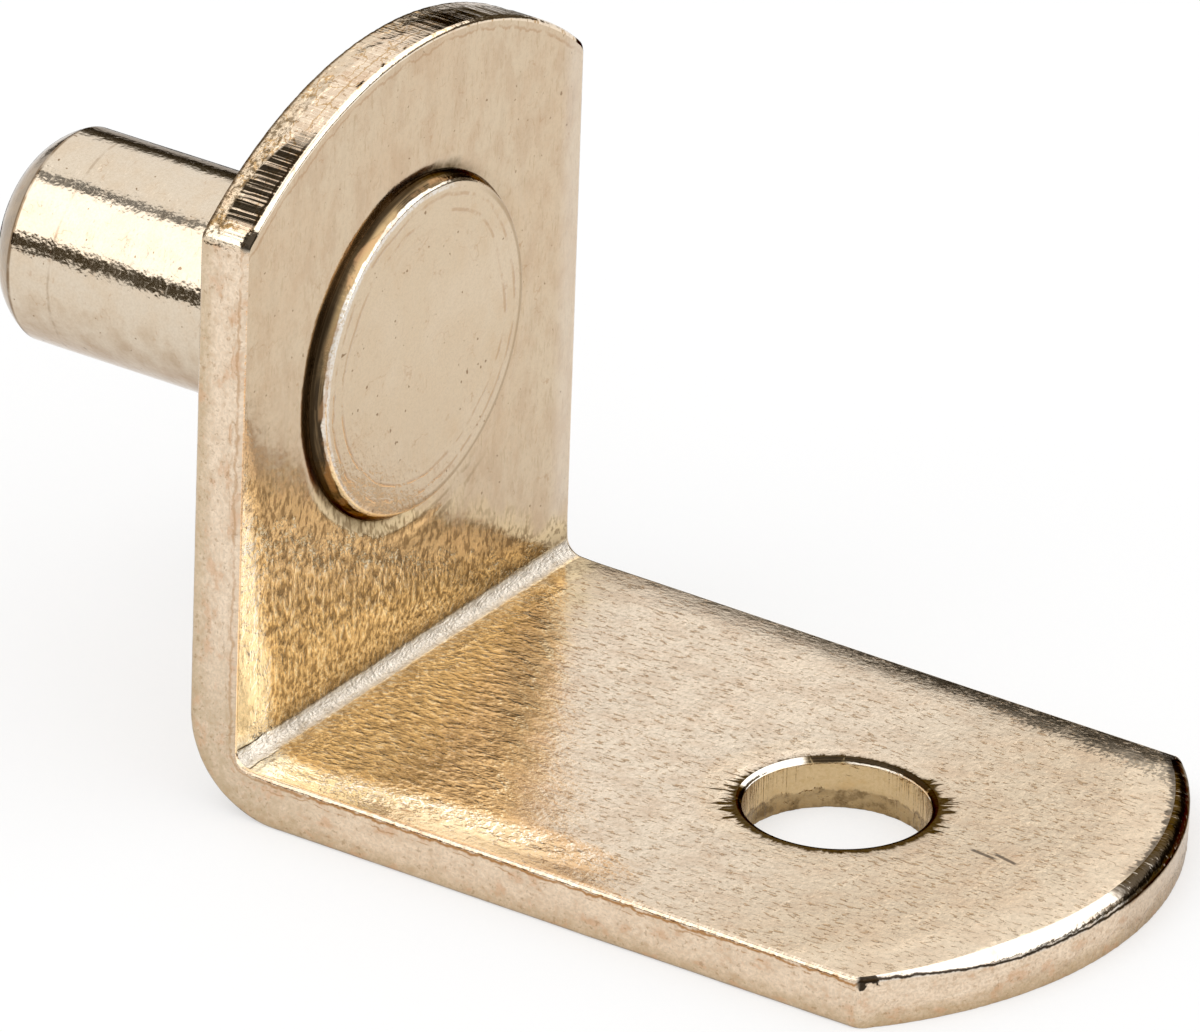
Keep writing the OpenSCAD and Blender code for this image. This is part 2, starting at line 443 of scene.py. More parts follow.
def make_pin(metal):
    """The turned pin: rounded free end, shank, tenon and the pressed flat head."""
    profile = [(NOSE_R * k / 4, PIN_L) for k in range(4)]
    chord = hypot(NOSE_L, PIN_R - NOSE_R)
    for t in np.linspace(0, 1, 22):
        swell = NOSE_SWELL * 4 * t * (1 - t)
        r = NOSE_R + (PIN_R - NOSE_R) * t + swell * NOSE_L / chord
        profile.append((r, PIN_L - NOSE_L * t + swell * (PIN_R - NOSE_R) / chord))
    nose_y = PIN_L - NOSE_L
    shank = [nose_y - 0.02, nose_y - 0.05, *np.linspace(nose_y - 0.15, 0.06, 60)]
    profile += [(PIN_R, y) for y in shank]
    profile += [(PIN_R - 0.02, 0.015), (PIN_R - 0.06, 0), (TENON_R + 0.1, 0)]
    profile += [(TENON_R, y) for y in (0, -0.02, -THICK + 0.02, -THICK)]
    profile += [(TENON_R + 0.2, -THICK), (HEAD_FOOT_R - 0.1, DISH_D - THICK)]
    profile += [(HEAD_FOOT_R, DISH_D - THICK), (HEAD_FOOT_R, -THICK)]
    head_h = -HEAD_Y - THICK
    slope = hypot(HEAD_FLARE, head_h)
    rim_h = head_h - HEAD_RIM_R
    face_r = HEAD_FOOT_R - (HEAD_RIM_R * slope + HEAD_FLARE * rim_h) / head_h
    angles = np.linspace(atan2(HEAD_FLARE, head_h), pi / 2, 9)
    rim = [np.array([face_r + HEAD_RIM_R * cos(a), rim_h + HEAD_RIM_R * sin(a)]) for a in angles]
    foot = np.array([HEAD_FOOT_R, 0])
    wall = [foot + (rim[0] - foot) * t for t in (0.33, 0.66)]
    profile += [(r, -THICK - h) for r, h in wall + rim]
    inset = [*np.arange(0.05, 1.2, 0.06), *np.arange(1.3, face_r, 0.16), face_r]
    profile += [(face_r - d, HEAD_Y) for d in inset]
    count = PIN_SIDES
    turn = np.arange(count) / count * 2 * pi
    across, up = np.sin(turn), np.cos(turn)
    points, faces, rings = [], [], []
    for r, y in profile:
        first = len(points)
        if r < 1e-9:
            points.append((0, y, 0))
            rings.append([first] * count)
            continue
        dy, radius = 0 * turn, r + 0 * turn
        if y < -THICK - 0.02:
            x, z = r * across, r * up
            face = ramp(HEAD_FOOT_R - 0.3 - r, -0.02, 0.12)
            dy = 0.007 * noise2(x / 1.6, z / 1.6, 51) + 0.003 * noise2(x / 0.5, z / 0.5, 52)
            dy = face * (dy + 0.010 * bell(r, 2.55, 0.13) * (0.5 + 0.5 * np.cos(turn - 0.9)))
            radius = radius + (1 - face) * 0.02 * noise2(up * 3 + 7, across * 3, 53)
        elif y > 0.1:
            radius = radius - 0.004 + 0.004 * noise2(up * 1.2 + y / 2.5, across * 1.2 + 3, 54)
        points.extend(zip(radius * across, y + dy, radius * up))
        rings.append(list(range(first, first + count)))
    for a, b in zip(rings, rings[1:]):
        for i in range(count):
            j = (i + 1) % count
            faces.append(tuple(dict.fromkeys((a[i], a[j], b[j], b[i]))))
    return to_object("pin_turned", np.array(points), faces, [0] * len(faces), [metal], {})


# ---- materials
def operator(operation, swap=False):
    """A method of Wire that adds one Math node. Swap puts the wire itself last."""

    def method(self, *others):
        values = (*others, self) if swap else (self, *others)
        return self.nodes.math(operation, *values)

    return method


class Wire:
    """A node's output. Arithmetic on it adds the nodes that it needs."""

    def __init__(self, nodes, socket):
        self.nodes, self.socket = nodes, socket

    __add__ = __radd__ = operator("ADD")
    __mul__ = __rmul__ = operator("MULTIPLY")
    __sub__, __rsub__ = operator("SUBTRACT"), operator("SUBTRACT", swap=True)
    __truediv__, __abs__ = operator("DIVIDE"), operator("ABSOLUTE")

    def range(self, low, high, to_low=0, to_high=1):
        """Carries low to to_low and high to to_high, smooth between and flat beyond."""
        made = self.nodes.add("MapRange", {"interpolation_type": "SMOOTHSTEP"}, i0=self)
        for socket, limit in zip(made.inputs[1:], (low, high, to_low, to_high)):
            socket.default_value = limit
        return self.nodes.wire(made)

    def fall(self, low, high):
        """1 below low, 0 above high."""
        return self.range(low, high, 1, 0)


class Nodes:
    """Short-hand for building the node tree of a material or a world."""

    def __init__(self, owner):
        owner.use_nodes = True
        self.owner, self.tree = owner, owner.node_tree
        self.tree.nodes.clear()

    def put(self, socket, value):
        """Links a value to a socket, or sets the socket to a constant."""
        value = value.socket if isinstance(value, Wire) else value
        if isinstance(value, bpy.types.NodeSocket):
            self.tree.links.new(value, socket)
        else:
            socket.default_value = value

    def add(self, kind, settings=None, **inputs):
        """Adds a node. An input is named by its socket's name, or by i and its number."""
        made = self.tree.nodes.new("ShaderNode" + kind)
        for key, value in (settings or {}).items():
            setattr(made, key, value)
        for key, value in inputs.items():
            numbered = key[0] == "i" and key[1:].isdigit()
            self.put(made.inputs[int(key[1:]) if numbered else key.replace("_", " ")], value)
        return made

    def wire(self, made, output=0):
        return Wire(self, made.outputs[output])

    def math(self, operation, *values):
        made = self.add("Math", {"operation": operation})
        for socket, value in zip(made.inputs, values):
            self.put(socket, value)
        return self.wire(made)

    def most(self, first, *others):
        for other in others:
            first = self.math("MAXIMUM", first, other)
        return first

    def length(self, x, y):
        return self.math("SQRT", x * x + y * y)

    def mix(self, factor, a, b):
        """A blend of two colours, from a at factor 0 to b at factor 1."""
        made = self.add("Mix", {"data_type": "RGBA"})
        self.put(made.inputs[0], factor)
        for socket, colour in ((made.inputs[6], a), (made.inputs[7], b)):
            self.put(socket, colour if isinstance(colour, Wire) else (*colour, 1))
        return self.wire(made, 2)

    def coat(self, amount, tone):
        """Lays a tone over the colour so far, as thick as amount, from 0 to 1."""
        self.colour = self.mix(amount, self.colour, tone)

    def noise(self, vector, scale, detail=2, roughness=0.5):
        made = self.add("TexNoise", Vector=vector, Scale=scale, Detail=detail, Roughness=roughness)
        return self.wire(made, "Fac")

    def stretch(self, vector, scale):
        return self.wire(self.add("Mapping", Vector=vector, Scale=scale))

    def grain(self, vector, scale, detail=2, roughness=0.5):
        """Noise with its own scale along each of the first two coordinates."""
        return self.noise(self.stretch(vector, (*scale, 1)), 1, detail, roughness)

    def ramp(self, value, *stops):
        """A colour ramp from (position, grey or colour) stops."""
        made = self.add("ValToRGB", Fac=value)
        elements = made.color_ramp.elements
        while len(elements) < len(stops):
            elements.new(0.5)
        for element, (position, colour) in zip(elements, stops):
            element.position = position
            element.color = (*(colour if isinstance(colour, tuple) else (colour,) * 3), 1)
        return self.wire(made)

    def shaders(self, factor, a, b):
        return self.add("MixShader", i0=factor, i1=self.wire(a), i2=self.wire(b))

    def attribute(self, name):
        return self.wire(self.add("Attribute", {"attribute_name": name}), "Vector")

    def coordinates(self, kind="Object"):
        return self.wire(self.add("TexCoord"), kind)

    def split(self, vector):
        made = self.add("SeparateXYZ", Vector=vector)
        return [self.wire(made, i) for i in range(3)]

    def join(self, x, y):
        return self.wire(self.add("CombineXYZ", X=x, Y=y))


BRASS = (0.675, 0.535, 0.372)
WARM_BRASS = (0.66, 0.50, 0.335)
PIN_BRASS = (0.705, 0.60, 0.47)
SILVER = (0.80, 0.74, 0.66)
COPPER = (0.42, 0.24, 0.12)
FLECK = (0.20, 0.11, 0.045)
UMBER = (0.06, 0.035, 0.015)
WHITE = (1, 1, 1)


def toned(colour, factor):
    return tuple(c * factor for c in colour)


def finish_metal(n, roughness, bumps, dirt_and_shade):
    """Metal in the colour laid so far, with a chain of bumps, each (height, distance in
    millimetres). Dirt and painted shade take the sheen away where the surface is seen edge on."""
    chain = {}
    for height, distance in bumps:
        made = n.add("Bump", Height=height, Distance=distance * MM, **chain)
        chain = {"Normal": n.wire(made)}
    tint = n.mix(dirt_and_shade, WHITE, (0.36, 0.29, 0.20))
    metal = n.add("BsdfPrincipled", Base_Color=n.colour, Metallic=1, Roughness=roughness, **chain)
    n.put(metal.inputs["Specular Tint"], tint)
    n.add("OutputMaterial", Surface=n.wire(metal))


def strip_metal():
    """Plated strip: rolled grain along its length, deepest beside the fold, brown flecks,
    painted shade round the rivet head, beside the fold and round the screw hole, painted
    highlights on the left edge and on the grain's ridges, and a rough bright fold."""
    n = Nodes(bpy.data.materials.new("strip_metal"))
    strip = n.attribute("strip")
    x, s, depth = n.split(strip)
    upper = depth.fall(0.3, 0.6)
    # Grain: short dashes along the strip, over softer dents, and a fine tooth
    dashes, fine = n.grain(strip, (8, 3.6)), n.grain(strip, (13, 9))
    dents = n.grain(strip, (2.6, 1.5))
    grain = n.noise(strip, 9, 3, 0.6)
    cloud = n.noise(strip, 0.45, 4, 0.6)
    mottle = n.grain(strip, (1.6, 0.9), 4, 0.65)
    # The worked zone beside the fold is long at the left edge and short at the right
    middle = abs(s - FOLD_S)
    beyond = middle - (5.5 - x * 0.51 - mottle * 2.4)
    worked = beyond.fall(-0.3, 0.9) * upper
    deep = (s.range(0, 1) * 0.7 + beyond).fall(-1.2, 0.1)
    deep *= upper * s.range(BEND_LENGTH, BEND_LENGTH + 0.8, 0.5, 0.85)
    # The left edge has wear beside the fold and a painted highlight there, in a band that
    # tapers away upward
    taper = n.most(s - BEND_LENGTH, 0) * -0.2
    spread = s.range(0, -4.5, 0, 0.45)
    waver = mottle * 0.7 + taper + spread + s.range(0, 2, 0.72, 1.15)
    inboard = x + HALF_W - waver
    wear_and_highlight = inboard.fall(-0.4, 0.1) * middle.range(10, 6.6) * upper
    far_edge = (x - s * 0.12).range(HALF_W - 0.1, HALF_W + 1)
    far_edge *= s.range(1, -2) * mottle.range(0.3, 0.6, 0.45, 1.15)
    rest = s.range(0, 1, 0.1, 0)
    relief = deep * (1 - rest) + rest
    relief *= wear_and_highlight * s.range(0, 1, -0.88, -0.65) + 1
    # Stains: short brown dashes in patches, pin pricks, and fine wandering lines
    patch = n.noise(strip, 0.7).range(0.28, 0.5)
    pits = n.grain(strip, (11, 3.6), 3, 0.6).range(0.605, 0.645)
    pits = n.most(pits, n.grain(strip, (8, 2.4), 3, 0.6).range(0.61, 0.645))
    pits *= patch * s.range(0.5, 2.5, 1, 0.28)
    pricks = n.noise(strip, 7, 1).range(0.735, 0.775)
    line = abs(n.noise(strip, 0.55, 4, 0.6) - 0.5)
    line = line.fall(0, 0.006) * n.noise(strip, 1.3).range(0.52, 0.62)
    # The fold: a narrow stripe that the die left matt and bright, with painted shade along
    # both its sides
    wobble = n.grain(strip, (1.6, 0.4), 3, 0.6)
    off = middle - (wobble * 0.22 + 0.3)
    fold = off.fall(-0.16, 0.14) * upper
    fold_border_shade = off.fall(0, 1) * (1 - fold) * wobble.range(0.3, 0.7, 0.35, 0.9)
    # The dent at the fold's left end, where the strip was pinched, is painted dark as shade
    left_end = (wobble * 1.6 + x).range(-HALF_W + 2.4, -HALF_W + 1.6)
    crevice = abs(off - (mottle * 0.3 - 0.08)).fall(0.01, 0.06)
    dent = x.range(-HALF_W + 1, -HALF_W + 0.7) * off.range(0.1, 0.2)
    dent *= off.range(0.5, 0.38) * s.range(1.2, 0.8)
    dent_shade = n.most(crevice * left_end, dent)
    # Painted shade round the rivet head, thick on its left and top
    rise = s - RIVET_S
    radius = n.length(x, rise)
    lean = (rise * 0.45 - x) / radius
    ragged = mottle * 0.5 + (radius - (HEAD_FOOT_R + 0.18))
    rivet_shade = ragged.fall(0, 0.42) * lean.range(-0.45, 0.15, 0.12, 1)
    rivet_shade *= grain.range(0.62, 0.4, 0.75, 1)
    corner = (rise - x) / (radius * sqrt(2)) + mottle * 0.25
    rivet_shade *= upper * (1 - corner.range(0.97, 1.1) * 0.3)
    # Strokes that the riveting tool left under the head, and a thin line inside the crown
    arcs = n.grain(strip, (0.9, 2), 3, 0.6) * 0.5 + radius
    arcs = n.math("SINE", arcs * 15).range(0.35, 0.95)
    arcs *= abs(radius - (HEAD_FOOT_R + 0.75)).fall(0.25, 0.55)
    arcs *= (rise / radius).range(-0.75, -0.92)
    arcs *= upper * mottle.range(0.4, 0.55)
    crown_gap = CROWN_R - 0.02 - (mottle * 0.5 + n.length(x, s - TOP_ARC))
    rim_line = abs(crown_gap).fall(0.01, 0.05) * mottle.range(0.36, 0.5) * s.range(8, 9)
    # Cracks in the plating at the two ends of the screw hole, in a ring of painted shade round
    # its rim that is widest on the front left, and two scratches past it
    down = s - HOLE_S
    ring = n.length(x, down) - HOLE_R
    angle = n.math("ARCTAN2", down, x)
    spokes = n.noise(n.join(angle * 16, ring * 0.8), 1, 3, 0.7) * 2.2 - 1.05
    ends = abs(n.math("COSINE", angle + radians(57)))
    near_side = (x * -0.84 + down * -0.54).range(-0.2, 1.6, 0, 0.13)
    spiked = ends.range(0.76, 0.97) * (n.most(spokes, 0) * 1.05 + 0.08)
    crack_and_shade_reach = near_side + spokes * 0.16 + spiked + (HOLE_ROLL_R + 0.01)
    cracks_and_shade = (ring - crack_and_shade_reach).fall(-0.05, 0.07)
    halo = abs(ring - (cloud * 0.5 + 0.45))
    halo = halo.fall(0.15, 0.45) * (down - x).range(-1, 1.5)
    halo *= 0.45 * s.range(0.5, -0.5)
    scratches = 0
    for at_x, at_s, half, slant in ((-0.12, -3.90, 0.42, 0.10), (-0.02, -4.42, 0.40, 0.22)):
        along = abs(down - at_s)
        aside = x - at_x - (down - at_s) * slant
        mark = abs(aside).fall(0.03, 0.07) * along.fall(half * 0.6, half)
        scratches = n.most(scratches, mark)
    n.colour = n.mix(cloud.range(0.35, 0.68), BRASS, WARM_BRASS)
    streak = n.grain(strip, (3.5, 0.7), 3, 0.6)
    tooth = grain.range(0.56, 0.36) * s.range(0.5, 3, 0.34, 0.14)
    tip_gap = CROWN_R - TIP_ROLL_R - n.length(x, s - SEAT_ARC)
    brim = (tip_gap - mottle * 1.2).range(0.9, 0.1) * s.range(-12, -14)
    tip_darkening = s.range(-6, -10.5, 0.06, 0.24) * (1 - brim)
    hairs = (tip_gap - dashes * 0.55).range(-0.1, -0.22) * s.range(-12, -14)
    hairs *= x.range(0.4, 1.6)
    # The seat is paler between the worked metal and the hole
    n.coat(s.range(0, -2) * s.range(-14, -9, 0.06, 0.42), (0.96, 0.85, 0.715))
    # The seat darkens towards its tip
    n.coat(tip_darkening, toned(BRASS, 0.72))
    n.coat(halo, toned(BRASS, 1.12))
    n.coat(tooth, toned(BRASS, 0.62))
    n.coat(streak.range(0.5, 0.68) * 0.14, toned(WARM_BRASS, 0.7))
    n.coat(mottle.range(0.42, 0.66) * 0.24, COPPER)
    strokes = n.grain(strip, (9, 1.4), 3, 0.6).range(0.58, 0.68)
    strokes *= patch * s.range(2, 5, 0, 0.38)
    n.coat(strokes, (0.46, 0.33, 0.19))
    # The worked metal beside the fold is painted a deeper gold, a painted reflection of the other
    # leg
    n.coat(worked * 0.75, (0.81, 0.62, 0.345))
    ridge = dents * 0.35 + fine * 0.25 + dashes
    low = ridge.range(0.84, 0.68) * worked * s.range(0, 3, 0.38, 0.72)
    # Painted highlights on the grain's ridges, deep in the worked zone
    high = ridge.range(0.85, 0.97) * beyond.range(-0.6, -2, 0, 0.9) * upper
    seat = s.range(0.5, -0.5)
    olive = abs(beyond + (1 - seat * 0.6)).fall(0.15, 0.85) * (seat * 0.65 + 0.35)
    olive *= (x - mottle).range(-4.6, -1, 0.1, 1) * upper
    n.coat(olive * 0.5, (0.3, 0.225, 0.12))
    n.coat(low, (0.2, 0.118, 0.04))
    # The painted highlights on the ridges
    n.coat(high, (0.92, 0.8, 0.6))
    # The painted highlight on the left edge's wear
    n.coat(wear_and_highlight * ridge.range(0.62, 0.78, 0.65, 1), (1, 0.93, 0.78))
    pepper = grain - (far_edge * 0.3 + 0.3)
    pepper = pepper.range(0.03, -0.05) * far_edge.range(0.05, 0.3)
    n.coat(pepper * 0.8, (0.1, 0.072, 0.035))
    n.coat(pits * 0.64, (0.34, 0.195, 0.075))
    n.coat(brim * 0.2, (0.9, 0.76, 0.58))
    n.coat(hairs * upper * 0.85, (0.05, 0.033, 0.016))
    n.coat(pricks * 0.7, FLECK)
    n.coat(line * 0.48, COPPER)
    # Painted shade along both sides of the fold
    n.coat(fold_border_shade * 0.55, (0.2, 0.13, 0.055))
    n.coat(arcs * 0.5, (0.26, 0.17, 0.07))
    n.coat(rim_line * 0.5, COPPER)
    # The painted shade round the rivet head
    n.coat(rivet_shade * 0.92, (0.045, 0.028, 0.012))
    # Cracks in the plating and painted shade round the screw hole
    n.coat(cracks_and_shade * upper * 0.93, (0.045, 0.028, 0.013))
    n.coat(scratches * 0.85, UMBER)
    smudge = n.grain(strip, (2, 2.6), 4, 0.65).range(0.5, 0.72) * 0.65
    silver = n.mix(smudge, SILVER, (0.34, 0.27, 0.19))
    # The stripe's lower side, towards the seat, is painted greyer as shade
    silver = n.mix(s.range(FOLD_S - 0.05, FOLD_S - 0.4) * 0.6, silver, (0.36, 0.29, 0.21))
    n.coat(fold * 0.92, silver)
    # Painted shade in the dent at the fold's left end
    n.coat(dent_shade * 0.92, (0.05, 0.032, 0.014))
    roughness = cloud * 0.1 + 0.11 + fold * 0.22
    fold_grain = fold * n.grain(strip, (9, 11), 3, 0.6)
    # The long edges lean outward where the rolls closed on them
    left_lean = (inboard - 0.45).range(-1.55, -0.15) - 1
    left_lean *= middle.range(12, 6.5) * upper
    right_lean = x.range(HALF_W + 0.2, HALF_W - 1) - 1
    right_lean *= s.range(BEND_LENGTH - 0.6, BEND_LENGTH + 0.4)
    bumps = [(left_lean, 0.22), (right_lean, 0.15), (cloud, 0.03), (dents * relief, 0.05)]
    bumps += [(dashes * relief, 0.045), (fine * (relief * 0.9 + 0.1), 0.008)]
    bumps += [(fold_grain, 0.042), (pits * seat, -0.006)]
    bumps += [(grain * seat * (1 - brim * 0.8), 0.006)]
    finish_metal(n, roughness, bumps, n.most(cracks_and_shade * upper, rivet_shade, dent_shade))
    return n.owner


def cut_metal():
    """Plated cut edges: scored and torn on the cropped ends, plain along the sides."""
    n = Nodes(bpy.data.materials.new("cut_metal"))
    wall = n.attribute("wall")
    depth, kind = n.split(wall)[1:]
    x, s = n.split(n.attribute("strip"))[:2]
    # kind is 0 on the long sides, 1 on the cropped ends and 2 or 3 in the holes
    cropped = kind.range(0.2, 0.8) * kind.fall(1.2, 1.4)
    punched = kind.range(1.2, 1.8)
    sheared = n.most(cropped, punched)
    crown = cropped * s.range(8, 9)
    tip = cropped * s.range(0, -1)
    tapered = x.range(-HALF_W + 0.3, -HALF_W + 3.5, TIP_ROLL_R * 0.35, TIP_ROLL_R)
    roll_r = tip * (tapered - CROWN_ROLL_R) + CROWN_ROLL_R
    wave = n.grain(wall, (2.2, 0.01), 4, 0.65)
    tear = (depth - (wave * 0.55 + 0.5)).range(-0.03, 0.04) * sheared
    below_roll = (depth / roll_r).range(0.75, 1.1)
    scores, coarse = n.grain(wall, (16, 0.3)), n.grain(wall, (5, 0.2))
    score_height = (coarse * 1.2 + scores) * n.most(crown, punched * 0.8) * below_roll
    grain = n.grain(wall, (9, 9), 3, 0.6)
    calm = crown * x.range(-4.5, -1.5, 0, 0.85)
    torn_height = grain * (tear + 0.1) * (1 - calm)
    tooth = n.grain(wall, (12, 14), 2, 0.6)
    blotch = n.grain(wall, (1.2, 2), 3, 0.6)
    wander = n.grain(wall, (2.6, 2.6), 4, 0.65)
    patch = n.grain(wall, (0.8, 1.2)).range(0.3, 0.55, 0.25, 1)
    flecks = n.grain(wall, (6, 7), 3, 0.65).range(0.5, 0.62) * patch
    pricks = n.noise(wall, 7, 2, 0.6).range(0.6, 0.66) * patch
    # Black scores on the crown, by its left corner and over its top
    left_black_zone = (wave * 1.4 + x).range(-3, -3.8)
    left_black_zone *= (depth - (x.range(-3.4, -5.6) * 0.5 + 0.42)).fall(-0.03, 0.05)
    left_black_zone *= (x - wave * 0.5).range(-6.5, -6.4)
    top_black_zone = (coarse * 1.6 + x).range(0.9, 2.2) * x.range(6.2, 5)
    top_black_zone *= (depth - coarse * 0.5).range(0.8, 0.55)
    black_zone = n.most(left_black_zone, top_black_zone) * crown
    streaks = coarse * 0.5 + scores
    black = streaks.range(0.76, 0.86, 1, 0.05) * black_zone * below_roll
    faint = streaks.range(0.66, 0.8) * crown * below_roll * (1 - tear)
    # The broken zone at the back of the crown is speckled, most of all near its left corner
    speckle = n.grain(wall, (6, 7), 4, 0.7).range(0.48, 0.56)
    speckle *= tear * crown * x.range(-1.5, -4.5, 0, 0.95)
    # A dark line of painted shade where the roll ends
    edge_at = wander * (0.22 - tip * 0.06) + (roll_r - (tip * 0.08 + 0.06))
    edge = abs(depth - edge_at).fall(0.015, 0.05)
    edge *= crown * n.most(wave.range(0.52, 0.6), left_black_zone) + tip
    corner_x = (wander - 0.5) * 0.9 + abs(x) - (HALF_W - CORNER_R)
    facet = crown * (wander * 0.5 + x).range(0.6 - HALF_W, 0.45 - HALF_W)
    outline = abs(wander * 0.5 + x - (0.6 - HALF_W))
    outline = crown * outline.fall(0.02, 0.07) * depth.range(0.35, 0.6, 0.1, 1)
    spot = cropped * corner_x.range(-0.02, 0.06) * (wander * 1.1 + depth).range(0.78, 0.7)
    spot *= (wander * 0.3 + depth).range(0.5, 0.42)
    back_line = (wander * 0.1 + depth).range(THICK - 0.05, THICK) * crown
    late = tip * (wander * 1.6 + x).range(0.6, 1.3)
    late *= (depth / roll_r).range(1.15, 0.85, 0.12, 1)
    late *= n.grain(wall, (8, 6), 4, 0.7).range(0.34, 0.44, 0.45, 1)
    # Thin stains wander just under the long edges, and the walls' lower part is darker
    side = 1 - sheared
    run = abs(depth - (wander * 0.3 - 0.02))
    run = run.fall(0.012, 0.06) * blotch.range(0.32, 0.42)
    second = abs(depth - (blotch * 0.45 + 0.04))
    second = second.fall(0, 0.03) * wander.range(0.46, 0.56)
    run = n.most(run, second * 0.75)
    # The side walls are darker near the fold
    fold_darkening = abs(s - FOLD_S).range(4.5, 1)
    fold_darkening *= (wander * 0.6 + blotch).range(0.95, 0.65, 0.1, 0.62)
    lower_darkening = (depth - wander * 0.8).range(0.25, 0.85) * 0.46
    n.colour = n.mix(blotch.range(0.38, 0.66), (0.88, 0.715, 0.545), (0.78, 0.62, 0.46))
    n.coat(tooth.range(0.6, 0.38) * (0.3 - crown * 0.18), toned(BRASS, 0.6))
    n.coat(lower_darkening * (tip * 0.7 + (1 - sheared * 0.48)), (0.4, 0.285, 0.135))
    n.coat(crown * 0.45, n.mix(tear, (0.92, 0.77, 0.58), (0.62, 0.49, 0.33)))
    n.coat(fold_darkening * side, (0.5, 0.385, 0.24))
    n.coat(flecks * (0.36 - crown * 0.14), (0.48, 0.31, 0.17))
    n.coat((wander * 0.5 + blotch).range(0.8, 0.92) * (0.4 - crown * 0.15), (0.66, 0.38, 0.21))
    n.coat(pricks * (crown * 0.35 + 0.4), (0.3, 0.175, 0.08))
    n.coat(run * side * s.range(2, -2, 0.45, 0.95), (0.4, 0.2, 0.07))
    n.coat(faint * 0.3, COPPER)
    vein = abs(n.grain(wall, (0.7, 1.1), 4, 0.6) - 0.5)
    vein = vein.fall(0.004, 0.014) * crown
    seam = abs(depth - (wander * 0.3 + 0.26))
    seam = seam.fall(0.006, 0.03) * crown * x.range(2, 1)
    vein = n.most(vein, seam * x.range(-4.2, -3.6))
    n.coat(vein * 0.75, (0.47, 0.27, 0.09))
    n.coat(facet * 0.8, (0.9, 0.78, 0.6))
    n.coat(outline * 0.85, (0.26, 0.15, 0.05))
    n.coat(speckle * 0.85, (0.13, 0.085, 0.04))
    n.coat(black * 0.98, (0.018, 0.012, 0.006))
    # The rolls of the cropped ends have wear and a painted highlight, fading to the right
    wear_and_highlight = cropped * (1 - below_roll) * (wave * 2 + x - tip * 2).range(2, 1)
    n.coat(wear_and_highlight * wander.range(0.35, 0.6, 0.85, 0.45), n.mix(crown, SILVER, (0.93, 0.82, 0.66)))
    n.coat(late * 0.95, (0.026, 0.017, 0.008))
    n.coat(back_line * 0.8, UMBER)
    n.coat(spot * 0.97, (0.018, 0.011, 0.005))
    # The painted shade where the roll ends
    n.coat(edge * 0.97, (0.025, 0.015, 0.007))
    n.coat(punched * 0.7, (0.6, 0.43, 0.19))
    n.coat(punched * tear * wander.range(0.38, 0.56, 0.85, 0.4), (0.17, 0.11, 0.05))
    # The hole's rolled rim is painted dark as shade but for painted highlights in an arc at the
    # back and one on the right
    turn = n.math("ARCTAN2", s - HOLE_S, x)
    back_arc = abs(turn - radians(79)).fall(0.42, 0.52)
    right_arc = abs(turn + radians(9)).fall(0.58, 0.68)
    sunk = wander * 0.1 + depth
    bright = n.most(back_arc, right_arc * sunk.range(0.12, 0.14) * 0.9)
    rim = punched * sunk.range(HOLE_ROLL_R + 0.06, HOLE_ROLL_R)
    dark = 1 - bright
    # Painted highlights and painted shade on the hole's rim
    n.coat(rim * bright, SILVER)
    n.coat(rim * dark * wander.range(0.7, 0.6, 0.45, 1) * 0.97, (0.02, 0.012, 0.006))
    roughness = grain * 0.12 + 0.08
    bumps = [(blotch, 0.04), (tooth * (1 - calm), 0.006)]
    bumps += [(score_height * (1 - calm * 0.7), 0.026), (torn_height, 0.017)]
    dirt_and_shade = n.most(black, speckle, edge, spot, late, back_line, rim * dark)
    finish_metal(n, roughness, bumps, dirt_and_shade)
    return n.owner


